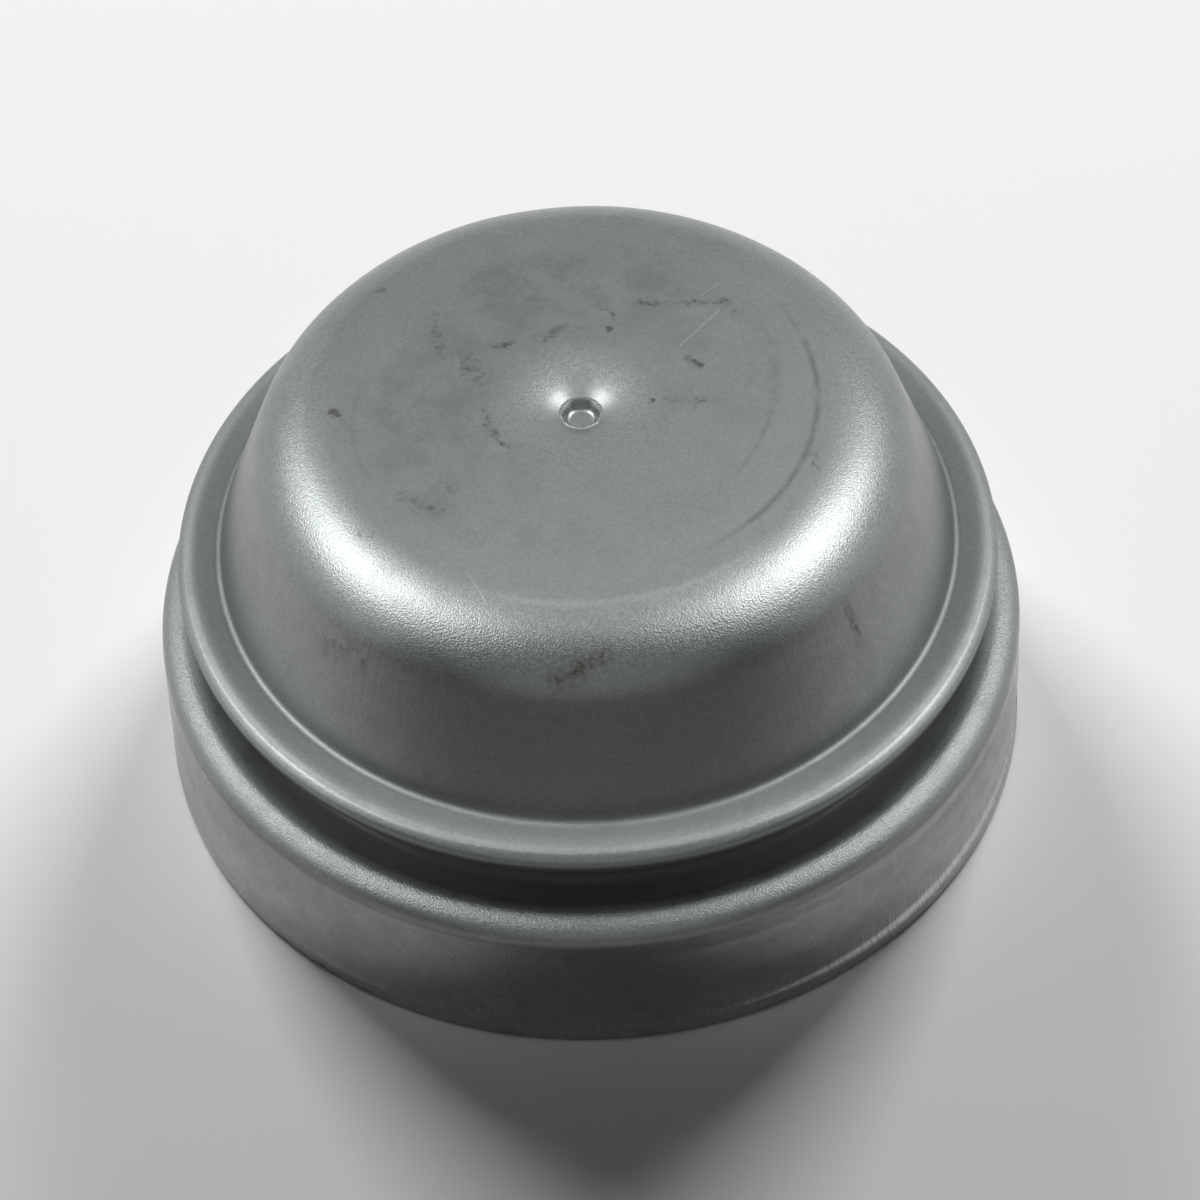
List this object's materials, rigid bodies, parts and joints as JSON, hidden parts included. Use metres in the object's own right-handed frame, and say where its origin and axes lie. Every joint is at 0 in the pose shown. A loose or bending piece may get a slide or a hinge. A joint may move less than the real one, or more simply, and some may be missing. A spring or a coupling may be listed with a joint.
{
  "type": "hub grease cap",
  "caption": "Round drawn sheet-metal cap with a flat-topped dome, a folded collar above a pry groove and a plain press-fit skirt; closes the outer end of a wheel hub.",
  "frame": {"origin": "centre of the rim, on the plane that the cap stands on", "axes": "+Z along the cap's axis, from the open rim towards the closed top"},
  "size_m": [0.06, 0.06, 0.031],
  "materials": {
    "bare_steel": "bare drawn steel, satin, lightly stained and scratched"
  },
  "bodies": {
    "root": {"cap_shell": "bare_steel"}
  },
  "joints": []
}
